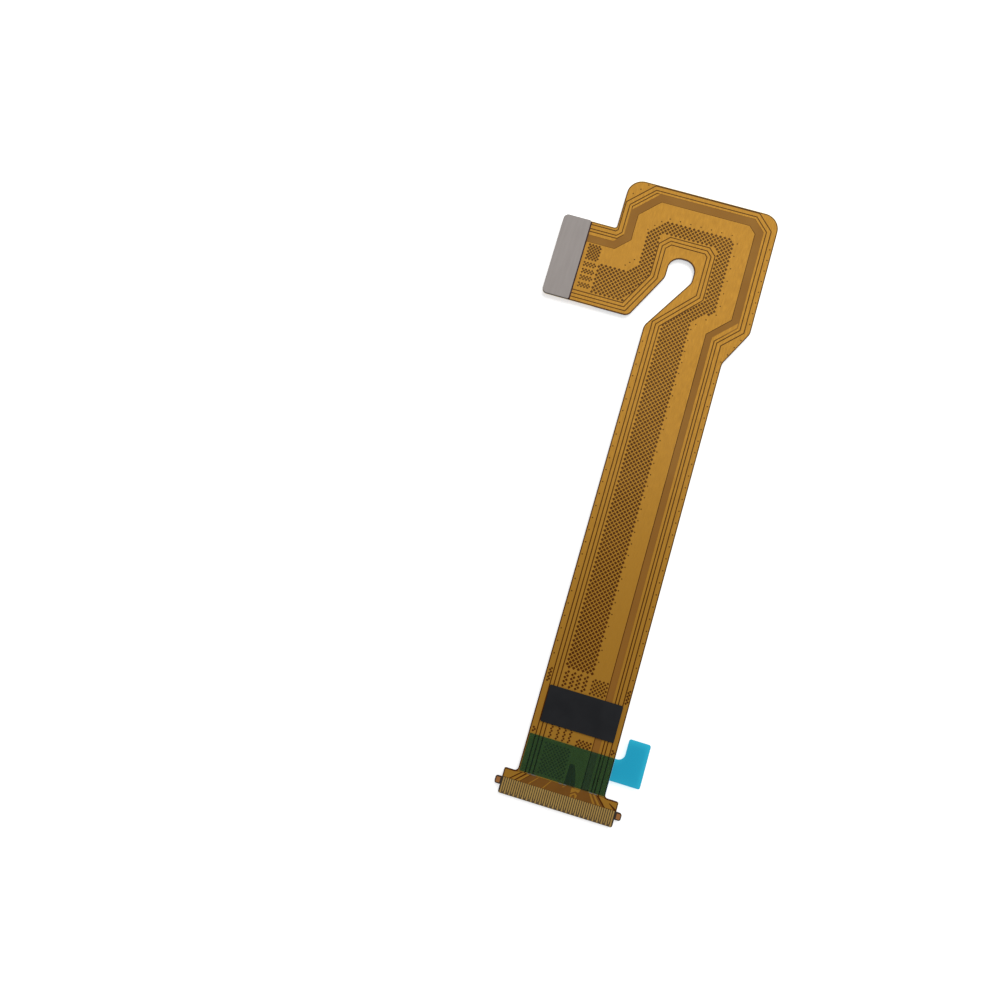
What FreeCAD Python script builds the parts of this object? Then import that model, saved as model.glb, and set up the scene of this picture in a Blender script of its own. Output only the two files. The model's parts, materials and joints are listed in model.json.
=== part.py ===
import FreeCAD, Part
import math
import os
import Sketcher

# Flat flex cable with a contact tail at one end and a board connector on the side tab of
# its hooked head. The strip runs along +Y, the amber face looks up (+Z) and the connector
# hangs below. Lengths are in millimetres. The drawing is made with X = 0 on the centre line
# of the strip and Y = 0 on the end of the contact tail, and every piece is then placed so
# that the origin lies under the middle of the whole cable, on the surface it stands on.

os.makedirs("parts", exist_ok=True)
doc = FreeCAD.newDocument("flex_cable")

# Driving sizes
driving_sizes = {
    # overall outline
    "cable_length": 87.5,
    "strip_width": 11.9,
    "head_right": 8.65,
    "head_left": 13.5,
    "right_bend_low_drop": 23.1,
    "right_bend_high_drop": 17.9,
    "tab_reach": 21.2,
    "tab_drop": 7.9,
    "tab_width": 12.1,
    "hook_corner": 8.5,
    # relief slot between the strip and the hook, with its corners counted down from the top edge
    "slot_left": 4.92,
    "slot_right": 1.14,
    "slot_drop": 9.85,
    "slot_left_drop": 13.05,
    "slot_right_low_drop": 20.7,
    "slot_right_high_drop": 12.85,
    # contact tail
    "tail_tip": 0.0,
    "contact_pitch": 0.3,
    "contact_total": 51,
    "contact_width": 0.19,
    "contact_length": 2.15,
    "contact_setback": 0.06,
    "short_tip_setback": 0.3,
    "tip_taper": 0.35,
    "tail_offset": 0.1,
    "tail_length": 3.35,
    "ear_reach": 0.82,
    "ear_low": 1.07,
    "ear_high": 2.09,
    # corner radii
    "head_radius": 2.25,
    "bend_radius": 1.5,
    "slot_radius": 1.65,
    "hook_radius": 1.15,
    "tab_radius": 0.7,
    "notch_radius": 0.35,
    "shoulder_radius": 0.5,
    "tail_radius": 0.25,
    "ear_radius": 0.3,
    # thicknesses of the layers
    "film_thickness": 0.06,
    "copper_thickness": 0.035,
    "coverlay_thickness": 0.04,
    "shield_thickness": 0.03,
    "tail_stiffener_thickness": 0.12,
    "plate_thickness": 0.25,
    "pad_thickness": 0.2,
    "tape_thickness": 0.05,
    "liner_thickness": 0.075,
    # ends of the layers along the strip
    "tail_stiffener_end": 3.9,
    "end_cover_end": 7.4,
    "shield_start": 8.4,
    "copper_start": 3.4,
    "edge_margin": 0.15,
    # black pad on the amber face
    "pad_width": 10.1,
    "pad_low": 10.45,
    "pad_high": 15.4,
    "pad_offset": 0.15,
    "pad_radius": 0.2,
    # release liner, its pull tab and the tape under it
    "liner_low": 3.55,
    "liner_high": 8.6,
    "liner_start": 5.75,
    "liner_reach": 10.05,
    "liner_neck_low": 5.7,
    "liner_leg_start": 7.1,
    "liner_leg_top": 11.6,
    "liner_radius": 0.28,
    "liner_inner_radius": 0.9,
    "tape_margin": 0.25,
    # stiffener plate over the connector
    "plate_length": 3.95,
    "plate_radius": 0.25,
    # upper copper: distances of the first outer gap from the edge of the film
    "gap_width": 0.15,
    "outer_inset_strip": 1.87,
    "outer_inset_leg": 1.92,
    "outer_inset_top": 1.25,
    "outer_inset_left": 1.34,
    "outer_inset_tab": 1.5,
    "outer_bend_rise": 2.9,
    "outer_corner_cut": 1.6,
    "outer_far_cut": 2.85,
    "outer_near_cut": 0.9,
    "outer_pitch": 0.43,
    "outer_wide_pitch": 0.62,
    # upper copper: distances of the first inner gap from the edge of the film
    "inner_inset_strip": 0.985,
    "inner_inset_leg": 1.14,
    "inner_inset_top": 1.65,
    "inner_inset_left": 1.08,
    "inner_inset_tab": 0.57,
    "inner_bend_rise": 0.85,
    "inner_leg_rise": 6.2,
    "inner_corner_cut": 0.4,
    "inner_far_cut": 0.7,
    "inner_slant_drop": 0.55,
    "inner_slant_run": 0.6,
    "inner_pitch": 0.53,
    # upper copper: edge of the ground plane beside the bare band
    "band_inset_strip": 3.27,
    "band_inset_leg": 3.03,
    "band_inset_top": 2.4,
    "band_inset_left": 2.5,
    "band_inset_tab": 3.1,
    "band_bend_rise": 3.57,
    "band_corner_cut": 1.0,
    "band_far_cut": 2.7,
    "band_near_cut": 1.95,
    "border_width": 0.34,
    "border_slant_width": 0.5,
    "border_far_width": 0.32,
    "border_tab_width": 0.43,
    # lower copper: five pairs of signal traces between ground bars
    "lane_total": 5,
    "lane_start_strip": 1.365,
    "lane_start_head": 1.1,
    "lane_start_tab": 1.36,
    "lane_pitch_strip": 0.92,
    "lane_pitch_head": 0.55,
    "lane_pitch_tab": 1.06,
    "supply_clearance": 1.13,
    "supply_inset_head": 2.2,
    "supply_inset_tab": 2.7,
    "supply_width": 1.1,
    # fan of traces between the strip and the contacts
    "fan_gap": 0.05,
    # board connector
    "connector_height": 0.65,
    "connector_inset": 1.97,
    "lead_pitch": 0.35,
    "leads_in_row": 25,
    "lead_width": 0.16,
    "lead_thickness": 0.05,
    "lead_reach": 1.32,
    "housing_base": 0.2,
    "housing_width": 1.7,
    "housing_end": 0.85,
    "wall_outer": 0.51,
    "wall_inner": 0.39,
    "lead_recess": 0.01,
    "lead_inner_depth": 0.3,
    "row_end_gap": 0.2,
    "solder_pad_width": 0.2,
    "solder_pad_start": 0.95,
    "solder_pad_reach": 1.45,
    "opening_half": 1.55,
    "opening_margin": 0.42,
    # metal fitting at each end of the connector
    "nail_thickness": 0.08,
    "nail_depth": 0.35,
    "nail_rise": 0.12,
    "nail_foot_width": 0.22,
    "nail_foot_reach": 1.3,
    "nail_nose_width": 0.36,
    "nail_nose_length": 0.22,
}

sheet = doc.addObject("Spreadsheet::Sheet", "sizes")
for row, (alias, value) in enumerate(driving_sizes.items(), start=1):
    sheet.set("A%d" % row, alias)
    sheet.set("B%d" % row, str(value))
    sheet.setAlias("B%d" % row, alias)
doc.recompute()
size = {alias: float(sheet.get(alias)) for alias in driving_sizes}

subparts = []


def number(text):
    """Value of a sum of named sizes, such as "tail_offset - ear_reach"."""
    total = 0.0
    sign = 1.0
    for word in text.split():
        if word in "+-":
            sign = 1.0 if word == "+" else -1.0
            continue
        name, slash, divisor = word.partition("/")
        total += sign * size[name] / (float(divisor) if slash else 1.0)
        sign = 1.0
    return total


def bound(text):
    """The same sum as an expression on the sheet."""
    words = [word if word in "+-" else "sizes." + word for word in text.split()]
    return " ".join(words)


def place(item, level):
    """Moves a finished piece from the drawing to the frame of the cable."""
    item.setExpression("Placement.Base.x", bound("tab_reach/2 - liner_reach/2"))
    item.setExpression("Placement.Base.y", bound("- cable_length/2"))
    if level:
        item.setExpression("Placement.Base.z", bound(level))
    item.Label = item.Name
    subparts.append(item)


def origin_plane(body, role):
    return [feature for feature in body.Origin.OriginFeatures if feature.Role == role][0]


def corner_sketch(body, name, outlines):
    """Closed outlines of straight edges, each corner held by two named sizes."""
    sketch = body.newObject("Sketcher::SketchObject", name)
    sketch.AttachmentSupport = (origin_plane(body, "XY_Plane"), [""])
    sketch.MapMode = "FlatFace"
    for corners in outlines:
        points = [FreeCAD.Vector(number(x), number(y), 0) for x, y in corners]
        first = sketch.GeometryCount
        for index, point in enumerate(points):
            following = points[(index + 1) % len(points)]
            sketch.addGeometry(Part.LineSegment(point, following), False)
        for index, (x, y) in enumerate(corners):
            edge = first + index
            following = first + (index + 1) % len(corners)
            sketch.addConstraint(Sketcher.Constraint("Coincident", edge, 2, following, 1))
            across = sketch.addConstraint(
                Sketcher.Constraint("DistanceX", -1, 1, edge, 1, number(x)))
            along = sketch.addConstraint(
                Sketcher.Constraint("DistanceY", -1, 1, edge, 1, number(y)))
            sketch.renameConstraint(across, "x%d" % edge)
            sketch.renameConstraint(along, "y%d" % edge)
            sketch.setExpression("Constraints.x%d" % edge, bound(x))
            sketch.setExpression("Constraints.y%d" % edge, bound(y))
    return sketch


def upright_edges(shape, corners):
    """Names of the upright edges that stand on the given corners."""
    names = []
    for x, y in corners:
        spot = FreeCAD.Vector(number(x), number(y), 0)
        for index, edge in enumerate(shape.Edges, start=1):
            ends = [FreeCAD.Vector(vertex.X, vertex.Y, 0) for vertex in edge.Vertexes]
            if len(ends) == 2 and all(end.distanceToPoint(spot) < 1e-5 for end in ends):
                names.append("Edge%d" % index)
    return names


def sheet_body(name, corners, thickness, level, rounds):
    """A flat piece cut to an outline, with its corners rounded by named radii."""
    body = doc.addObject("PartDesign::Body", name)
    sketch = corner_sketch(body, name + "_outline", [corners])
    feature = body.newObject("PartDesign::Pad", name + "_pad")
    feature.Profile = sketch
    feature.setExpression("Length", bound(thickness))
    doc.recompute()
    for radius, chosen in rounds:
        fillet = body.newObject("PartDesign::Fillet", name + "_" + radius)
        fillet.Base = (feature, upright_edges(feature.Shape, chosen))
        fillet.setExpression("Radius", bound(radius))
        doc.recompute()
        feature = fillet
    place(body, level)
    return body


def pocket(body, name, outlines, depth):
    """Cuts outlines upwards from the lower face of a body."""
    before = body.Shape.Volume
    sketch = corner_sketch(body, name + "_outline", outlines)
    cut = body.newObject("PartDesign::Pocket", name)
    cut.Profile = sketch
    cut.Reversed = True
    cut.setExpression("Length", bound(depth))
    doc.recompute()
    if body.Shape.Volume >= before:
        raise RuntimeError(name + " cuts nothing")


def rectangle(left, right, low, high):
    return [(left, low), (right, low), (right, high), (left, high)]


# Sizes that follow from the driving ones
derived_sizes = {
    "tail_width": "(contact_total + 1) * contact_pitch",
    "connector_span": "(leads_in_row - 1) * lead_pitch",
    "tab_top": "cable_length - tab_drop",
    "tab_low": "cable_length - tab_drop - tab_width",
    "right_bend_low": "cable_length - right_bend_low_drop",
    "right_bend_high": "cable_length - right_bend_high_drop",
    "slot_top": "cable_length - slot_drop",
    "slot_left_high": "cable_length - slot_left_drop",
    "slot_right_low": "cable_length - slot_right_low_drop",
    "slot_right_high": "cable_length - slot_right_high_drop",
}
for row, (alias, formula) in enumerate(derived_sizes.items(), start=1):
    sheet.set("D%d" % row, "=" + formula)
    sheet.setAlias("D%d" % row, alias)
doc.recompute()
for alias in derived_sizes:
    size[alias] = float(sheet.get(alias))

# Outline of the film, counter-clockwise from the left end of the contact tail
strip_left = "- strip_width/2"
strip_right = "strip_width/2"
tail_left = "tail_offset - tail_width/2"
tail_right = "tail_offset + tail_width/2"
ear_left = tail_left + " - ear_reach"
ear_right = tail_right + " + ear_reach"

tail_end = [(tail_left, "tail_tip"), (tail_right, "tail_tip")]
right_ear = [(tail_right, "ear_low"), (ear_right, "ear_low"),
             (ear_right, "ear_high"), (tail_right, "ear_high")]
left_ear = [(tail_left, "ear_high"), (ear_left, "ear_high"),
            (ear_left, "ear_low"), (tail_left, "ear_low")]
right_shoulder = [(tail_right, "tail_length"), (strip_right, "tail_length")]
left_shoulder = [(strip_left, "tail_length"), (tail_left, "tail_length")]
right_bend = [(strip_right, "right_bend_low"), ("head_right", "right_bend_high")]
head_corners = [("head_right", "cable_length"), ("- head_left", "cable_length")]
notch = [("- head_left", "tab_top")]
tab_corners = [("- tab_reach", "tab_top"), ("- tab_reach", "tab_low")]
hook = [("- hook_corner", "tab_low")]
slot_left_bend = [("- slot_left", "slot_left_high")]
slot_end = [("- slot_left", "slot_top"), ("- slot_right", "slot_top")]
slot_right_bend = [("- slot_right", "slot_right_high"), (strip_left, "slot_right_low")]

slot_side = hook + slot_left_bend + slot_end + slot_right_bend
film_outline = (tail_end + right_ear + right_shoulder + right_bend + head_corners + notch
                + tab_corners + slot_side + left_shoulder + left_ear)

slot_rounds = [
    ("hook_radius", hook),
    ("bend_radius", slot_left_bend + slot_right_bend + right_bend),
    ("slot_radius", slot_end),
    ("head_radius", head_corners),
]
shoulder_rounds = [("shoulder_radius", [right_shoulder[1], left_shoulder[0]])]
tab_rounds = [("tab_radius", tab_corners), ("notch_radius", notch)]
tail_rounds = [
    ("tail_radius", tail_end + [right_shoulder[0], left_shoulder[1]]),
    ("ear_radius", [right_ear[1], right_ear[2], left_ear[1], left_ear[2]]),
]

# Levels of the layers, from the surface that the connector stands on
shield_level = "connector_height - shield_thickness"
lower_cover_level = "connector_height"
lower_copper_level = "connector_height + coverlay_thickness"
film_level = lower_copper_level + " + copper_thickness"
upper_copper_level = film_level + " + film_thickness"
upper_cover_level = upper_copper_level + " + copper_thickness"
face_level = upper_cover_level + " + coverlay_thickness"
liner_level = face_level + " + tape_thickness"
stiffener_level = shield_level + " - tail_stiffener_thickness"

# Base film: the one flexible sheet that everything else is bonded to
base_film = sheet_body(
    "base_film", film_outline, "film_thickness", film_level,
    slot_rounds + shoulder_rounds + tab_rounds + tail_rounds)

# Amber cover film over the upper copper, which stops short of the bare contacts
contact_end = [(tail_left, "contact_length"), (tail_right, "contact_length")]
upper_cover_outline = (contact_end + right_shoulder + right_bend + head_corners + notch
                       + tab_corners + slot_side + left_shoulder)
sheet_body(
    "upper_cover_film", upper_cover_outline, "coverlay_thickness", upper_cover_level,
    slot_rounds + shoulder_rounds + tab_rounds)

# Amber cover film under the lower copper, open where the connector is soldered
lower_cover = sheet_body(
    "lower_cover_film", film_outline, "coverlay_thickness", lower_cover_level,
    slot_rounds + shoulder_rounds + tab_rounds + tail_rounds)
connector_x = "connector_inset - tab_reach"
connector_y = "tab_low/2 + tab_top/2"
housing_top = connector_y + " + connector_span/2 + housing_end"
housing_low = connector_y + " - connector_span/2 - housing_end"
pocket(lower_cover, "connector_opening", [rectangle(
    connector_x + " - opening_half", connector_x + " + opening_half",
    housing_low + " - opening_margin", housing_top + " + opening_margin")], "coverlay_thickness")

# Black shield film over the strip and the head, cut off square at the tab
shield_outline = ([(strip_left, "shield_start"), (strip_right, "shield_start")] + right_bend
                  + head_corners + [("- head_left", "tab_low")] + slot_side)
sheet_body("shield_film", shield_outline, "shield_thickness", shield_level, slot_rounds)

# Dark cover film behind the contact tail
end_cover_outline = (tail_end + right_ear + right_shoulder
                     + [(strip_right, "end_cover_end"), (strip_left, "end_cover_end")]
                     + left_shoulder + left_ear)
sheet_body("end_cover_film", end_cover_outline, "shield_thickness", shield_level,
           shoulder_rounds + tail_rounds)

# Stiffener that gives the contact tail its thickness
stiffener_outline = (tail_end + right_ear + right_shoulder
                     + [(strip_right, "tail_stiffener_end"), (strip_left, "tail_stiffener_end")]
                     + left_shoulder + left_ear)
sheet_body("tail_stiffener", stiffener_outline, "tail_stiffener_thickness", stiffener_level, tail_rounds)

# Stiffener plate on the amber face, over the connector
plate_right = "plate_length - tab_reach"
plate_outline = rectangle("- tab_reach", plate_right, "tab_low", "tab_top")
sheet_body("connector_stiffener", plate_outline, "plate_thickness", face_level,
           [("tab_radius", [plate_outline[0], plate_outline[3]]),
            ("plate_radius", [plate_outline[1], plate_outline[2]])])

# Black pad across the strip
pad_outline = rectangle("pad_offset - pad_width/2", "pad_offset + pad_width/2", "pad_low", "pad_high")
sheet_body("insulating_pad", pad_outline, "pad_thickness", face_level, [("pad_radius", pad_outline)])

# Tape on the strip, and the release liner whose pull tab stands out to the right
tape_outline = rectangle("- liner_start", "strip_width/2 - tape_margin", "liner_low", "liner_high")
sheet_body("adhesive_tape", tape_outline, "tape_thickness", face_level, [])
liner_inner_corner = [("liner_leg_start", "liner_high")]
liner_outline = (
    [("- liner_start", "liner_low"), (strip_right, "liner_low"), (strip_right, "liner_neck_low"),
     ("liner_reach", "liner_neck_low"), ("liner_reach", "liner_leg_top"),
     ("liner_leg_start", "liner_leg_top")]
    + liner_inner_corner + [("- liner_start", "liner_high")])
sheet_body("release_liner", liner_outline, "liner_thickness", liner_level,
           [("liner_radius", liner_outline[3:6]), ("liner_inner_radius", liner_inner_corner)])

# Copper. Each conductor follows a route round the hook, at a given distance to its right.


def crossing(point_a, along_a, point_b, along_b):
    """Point where two lines of a route meet."""
    span = along_a.x * along_b.y - along_a.y * along_b.x
    step = point_b - point_a
    reach = (step.x * along_b.y - step.y * along_b.x) / span
    return point_a + along_a * reach


def shifted(route, offsets):
    """The corners of a route with each straight run moved to its right by its own offset."""
    runs = []
    for start, end, offset in zip(route, route[1:], offsets):
        along = (end - start).normalize()
        side = FreeCAD.Vector(along.y, -along.x, 0)
        runs.append((start + side * offset, along, end + side * offset))
    corners = [runs[0][0]]
    for (start_a, along_a, _), (start_b, along_b, _) in zip(runs, runs[1:]):
        corners.append(crossing(start_a, along_a, start_b, along_b))
    corners.append(runs[-1][2])
    return corners


def even(offset):
    """One offset for all nine runs of a route."""
    return [offset] * 9


def graded(strip, head, tab):
    """Offsets that differ along the strip, round the head and on the tab."""
    return [strip] + [head] * 7 + [tab]


def polygon_face(corners):
    return Part.Face(Part.makePolygon(corners + [corners[0]]))


def between(route_a, offsets_a, route_b, offsets_b):
    """Face between two shifted routes."""
    near = shifted(route_a, offsets_a)
    far = shifted(route_b, offsets_b)
    return polygon_face(near + far[::-1])


def copper_piece(name, faces, level):
    """One node of copper: its faces given the thickness of the foil."""
    lift = FreeCAD.Vector(0, 0, size["copper_thickness"])
    solids = [face.extrude(lift) for face in faces]
    item = doc.addObject("Part::Feature", name)
    item.Shape = solids[0] if len(solids) == 1 else Part.makeCompound(solids)
    place(item, level)


def point(x, y):
    return FreeCAD.Vector(x, y, 0)


half_strip = size["strip_width"] / 2
copper_end = size["edge_margin"] + 0.25 - size["tab_reach"]
start_y = size["copper_start"]
gap = size["gap_width"]


def outer_route(name, tab_end):
    """Route that keeps the named insets from the outer edge of the film."""
    strip_x = half_strip - size[name + "_inset_strip"]
    leg_x = size["head_right"] - size[name + "_inset_leg"]
    top_y = size["cable_length"] - size[name + "_inset_top"]
    left_x = size[name + "_inset_left"] - size["head_left"]
    tab_y = size["tab_top"] - size[name + "_inset_tab"]
    bend_y = size["right_bend_low"] + size[name + "_bend_rise"]
    corner = size[name + "_corner_cut"]
    far = size[name + "_far_cut"]
    near = size[name + "_near_cut"]
    return [
        point(strip_x, start_y), point(strip_x, bend_y), point(leg_x, bend_y + leg_x - strip_x),
        point(leg_x, top_y - corner), point(leg_x - corner, top_y), point(left_x + far, top_y),
        point(left_x, top_y - far), point(left_x, tab_y + near), point(left_x - near, tab_y),
        point(tab_end, tab_y),
    ]


def inner_route(tab_end):
    """Route that keeps the named insets from the slot side of the film."""
    strip_x = size["inner_inset_strip"] - half_strip
    leg_x = size["inner_inset_leg"] - size["slot_right"]
    top_y = size["slot_top"] + size["inner_inset_top"]
    left_x = -size["slot_left"] - size["inner_inset_left"]
    tab_y = size["tab_low"] + size["inner_inset_tab"]
    bend_y = size["slot_right_low"] + size["inner_bend_rise"]
    leg_y = size["slot_right_low"] + size["inner_leg_rise"]
    corner = size["inner_corner_cut"]
    far = size["inner_far_cut"]
    slant_y = size["slot_left_high"] - size["inner_slant_drop"]
    slant_x = -size["hook_corner"] - size["inner_slant_run"]
    return [
        point(strip_x, start_y), point(strip_x, bend_y), point(leg_x, leg_y),
        point(leg_x, top_y - corner), point(leg_x - corner, top_y), point(left_x + far, top_y),
        point(left_x, top_y - far), point(left_x, slant_y), point(slant_x, tab_y),
        point(tab_end, tab_y),
    ]


outer = outer_route("outer", copper_end)
inner = inner_route(copper_end)
band = outer_route("band", copper_end)

# The film's outline drawn in by the edge margin, and what lies outside or inside a route
film_face = [face for face in base_film.Tip.Shape.Faces if face.normalAt(0, 0).z > 0.9][0]
inset_face = Part.Face(film_face.OuterWire.makeOffset2D(-size["edge_margin"]))
inset_face.translate(FreeCAD.Vector(0, 0, -inset_face.BoundBox.ZMin))
far_right = size["head_right"] + size["ear_reach"] + size["cable_length"] / 10
far_top = size["cable_length"] * 1.1


def outside(corners):
    """The part of the inset film on the outer side of a shifted route."""
    rim = [point(corners[-1].x, far_top), point(far_right, far_top), point(far_right, start_y)]
    return inset_face.common(polygon_face(corners + rim)).Faces


def inside(corners):
    """The part of the inset film on the slot side of a shifted route."""
    return inset_face.common(polygon_face(corners + [point(corners[-1].x, start_y)])).Faces


line_two = size["outer_pitch"]
line_three = size["outer_pitch"] + size["outer_wide_pitch"]
half_gap = gap / 2

copper_piece("outer_trace_narrow", [between(
    outer, even(half_gap), outer, even(line_two - half_gap))], upper_copper_level)
copper_piece("outer_trace_wide", [between(
    outer, even(line_two + half_gap), outer, even(line_three - half_gap))], upper_copper_level)
copper_piece("outer_edge_ground", outside(shifted(outer, even(line_three + half_gap))), upper_copper_level)

for index, name in enumerate(("inner_trace_first", "inner_trace_second")):
    low = index * size["inner_pitch"] + half_gap
    high = (index + 1) * size["inner_pitch"] - half_gap
    copper_piece(name, [between(inner, even(low), inner, even(high))], upper_copper_level)
copper_piece("inner_edge_ground", inside(shifted(inner, even(-half_gap))), upper_copper_level)

# Ground plane between the inner traces and the bare band
plane_start = 2 * size["inner_pitch"] + half_gap
copper_piece("ground_plane", [between(inner, even(plane_start), band, even(0))], upper_copper_level)

# Borders of the bare band: beside the strip and its bend, at the far corner and on the tab
border_near = shifted(outer, even(-half_gap))
strip_border = shifted(outer, [-half_gap - size["border_width"], -half_gap - size["border_slant_width"]]
                       + even(-half_gap)[2:])
far_border = shifted(outer, even(-half_gap)[:5] + [-half_gap - size["border_far_width"]]
                     + even(-half_gap)[6:])
tab_border = shifted(outer, even(-half_gap)[:8] + [-half_gap - size["border_tab_width"]])
copper_piece("band_borders", [
    polygon_face(strip_border[0:3] + border_near[0:3][::-1]),
    polygon_face(far_border[5:7] + border_near[5:7][::-1]),
    polygon_face(tab_border[8:10] + border_near[8:10][::-1]),
], upper_copper_level)

# Fan of traces from the strip out to the contacts, drawn by shares of its width and height
fan_low = size["contact_length"] + size["fan_gap"]
fan_high = start_y - size["fan_gap"]
half_tail = size["tail_width"] / 2


def fan_point(across, up):
    """Point of the fan: its share of the half width at that height, and of the fan's height."""
    half_width = half_tail + (half_strip - half_tail) * up
    return point(size["tail_offset"] * (1 - up) + across * half_width, fan_low + (fan_high - fan_low) * up)


def fan_piece(shares):
    return polygon_face([fan_point(across, up) for across, up in shares])


# Each trace: share at the contacts, share at the strip and half of its width
fan_traces = [
    (-0.82, -0.85, 0.032), (-0.73, -0.74, 0.03), (-0.54, -0.51, 0.01), (-0.29, -0.23, 0.01),
    (0.6, 0.67, 0.022), (0.69, 0.76, 0.026),
]
fan_faces = []
for low, high, half in fan_traces:
    fan_faces.append(fan_piece([(low - half, 0), (low + half, 0), (high + half, 1), (high - half, 1)]))
fan_faces.append(fan_piece([(0.03, 0.75), (0.05, 0.75), (0.11, 1), (0.09, 1)]))
fan_faces.append(fan_piece([(0.25, 1), (0.2, 0.39), (0.32, 0.74), (0.37, 0.65), (0.45, 1)]))
fan_faces.append(fan_piece([
    (0.18, 0), (0.21, 0), (0.22, 0.17), (0.27, 0.35), (0.28, 0.24), (0.26, 0), (0.29, 0), (0.33, 0.35),
    (0.3, 0.56), (0.19, 0.22)]))

# Grounds that widen into the shoulders, the right one with a slit
shoulder_y = size["tail_length"] - size["edge_margin"]
strip_x = half_strip - size["edge_margin"]
flare_x = strip_x + size["shoulder_radius"]
tail_x = number(tail_right) - size["edge_margin"]
far_tail_x = number(tail_left) + size["edge_margin"]
fan_faces.append(polygon_face([
    point(far_tail_x, fan_low), fan_point(-0.88, 0), fan_point(-0.92, 1), point(-strip_x, fan_high),
    point(-flare_x, shoulder_y), point(far_tail_x, shoulder_y)]))
fan_faces.append(polygon_face([
    fan_point(0.87, 1), fan_point(0.8, 0), fan_point(0.95, 0), fan_point(0.98, 0.52), fan_point(1.01, 0.62),
    point(tail_x, fan_low + 0.15 * (fan_high - fan_low)), point(tail_x, shoulder_y),
    point(flare_x, shoulder_y), point(strip_x, fan_high)]))
copper_piece("fan_traces", fan_faces, upper_copper_level)

# Contacts of the tail: a row of gold fingers, every second one with a shorter, tapered tip
first_contact = size["tail_offset"] - (size["contact_total"] - 1) * size["contact_pitch"] / 2
finger_faces = []
for index in range(int(size["contact_total"])):
    middle = first_contact + index * size["contact_pitch"]
    half = size["contact_width"] / 2
    tip = size["contact_setback"] if index % 2 == 0 else size["short_tip_setback"]
    tip_half = half if index % 2 == 0 else half / 2
    finger_faces.append(polygon_face([
        point(middle - tip_half, tip), point(middle + tip_half, tip),
        point(middle + half, tip + size["tip_taper"]), point(middle + half, size["contact_length"]),
        point(middle - half, size["contact_length"]), point(middle - half, tip + size["tip_taper"])]))
copper_piece("tail_contacts", finger_faces, upper_copper_level)

# Small copper pad on each ear
ear_faces = []
for middle in (number(tail_left + " - ear_reach/2"), number(tail_right + " + ear_reach/2")):
    half = size["ear_reach"] / 2 - size["edge_margin"]
    low = size["ear_low"] + size["edge_margin"]
    high = size["ear_high"] - size["edge_margin"]
    ear_faces.append(polygon_face([
        point(middle - half, low), point(middle + half, low), point(middle + half, high),
        point(middle - half, high)]))
copper_piece("ear_pads", ear_faces, upper_copper_level)

# Lower copper: signal pairs and the ground bars between them
opening_right = number(connector_x + " + opening_half")
lane_end = opening_right + size["edge_margin"]
lane_route = inner_route(lane_end)


def lane_offsets(place_in_lane):
    """Offsets of a line at a place counted in lanes from the first pair."""
    return graded(
        size["lane_start_strip"] + place_in_lane * size["lane_pitch_strip"],
        size["lane_start_head"] + place_in_lane * size["lane_pitch_head"],
        size["lane_start_tab"] + place_in_lane * size["lane_pitch_tab"])


# Places within a lane, in shares of its width: the two signal traces of a pair, and the bar
signal_side = 0.1
signal_half = 0.05
bar_low = 0.27
bar_high = 0.73
for lane in range(int(size["lane_total"])):
    pair = [between(lane_route, lane_offsets(lane + side - signal_half),
                    lane_route, lane_offsets(lane + side + signal_half))
            for side in (-signal_side, signal_side)]
    copper_piece("signal_pair_%d" % (lane + 1), pair, lower_copper_level)
    bar = between(lane_route, lane_offsets(lane + bar_low), lane_route, lane_offsets(lane + bar_high))
    copper_piece("ground_bar_%d" % (lane + 1), [bar], lower_copper_level)

# The supply trace keeps its clearance from the last bar on the strip, and an inset from the edge elsewhere
last_bar = lane_offsets(size["lane_total"] - 1 + bar_high)[0]
supply_strip = inner[0].x + last_bar + size["supply_clearance"] - outer[0].x
supply_near = graded(supply_strip, -size["supply_inset_head"], -size["supply_inset_tab"])
supply_far = [offset + size["supply_width"] for offset in supply_near]
lower_outer = outer_route("outer", lane_end)
copper_piece("supply_trace", [between(lower_outer, supply_near, lower_outer, supply_far)], lower_copper_level)

keep_out = polygon_face([
    point(-size["tab_reach"], number(housing_low + " - opening_margin - edge_margin")),
    point(lane_end, number(housing_low + " - opening_margin - edge_margin")),
    point(lane_end, number(housing_top + " + opening_margin + edge_margin")),
    point(-size["tab_reach"], number(housing_top + " + opening_margin + edge_margin"))])
ground_far = [offset + gap for offset in supply_far]
for name, parts in (
        ("lower_outer_ground", outside(shifted(outer, ground_far))),
        ("lower_inner_ground", inside(shifted(inner, lane_offsets(-bar_low))))):
    faces = [face for part in parts for face in part.cut(keep_out).Faces]
    copper_piece(name, faces, lower_copper_level)

# Solder pads in the opening of the lower cover film
centre_x = number(connector_x)
centre_y = number(connector_y)
lead_places = [centre_y + (index - (size["leads_in_row"] - 1) / 2) * size["lead_pitch"]
               for index in range(int(size["leads_in_row"]))]
nail_y = [number(housing_low + " + nail_depth/2"), number(housing_top + " - nail_depth/2")]


def block(x_low, x_high, y_low, y_high, z_low, z_high):
    corner = FreeCAD.Vector(x_low, y_low, z_low)
    return Part.makeBox(x_high - x_low, y_high - y_low, z_high - z_low, corner)


def mirrored(shape, flip):
    """The same shape on the other side of the connector's centre line."""
    if not flip:
        return shape
    return shape.mirror(FreeCAD.Vector(centre_x, 0, 0), FreeCAD.Vector(1, 0, 0))


def shape_node(name, solids, level):
    item = doc.addObject("Part::Feature", name)
    item.Shape = solids[0] if len(solids) == 1 else Part.makeCompound(solids)
    place(item, level)


pad_height = size["coverlay_thickness"] + size["copper_thickness"]
pads = []
for flip in (False, True):
    for middle in lead_places + nail_y:
        half = size["solder_pad_width"] / 2
        pad = block(centre_x + size["solder_pad_start"], centre_x + size["solder_pad_reach"],
                    middle - half, middle + half, 0, pad_height)
        pads.append(mirrored(pad, flip))
shape_node("solder_pads", pads, "connector_height")

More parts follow.
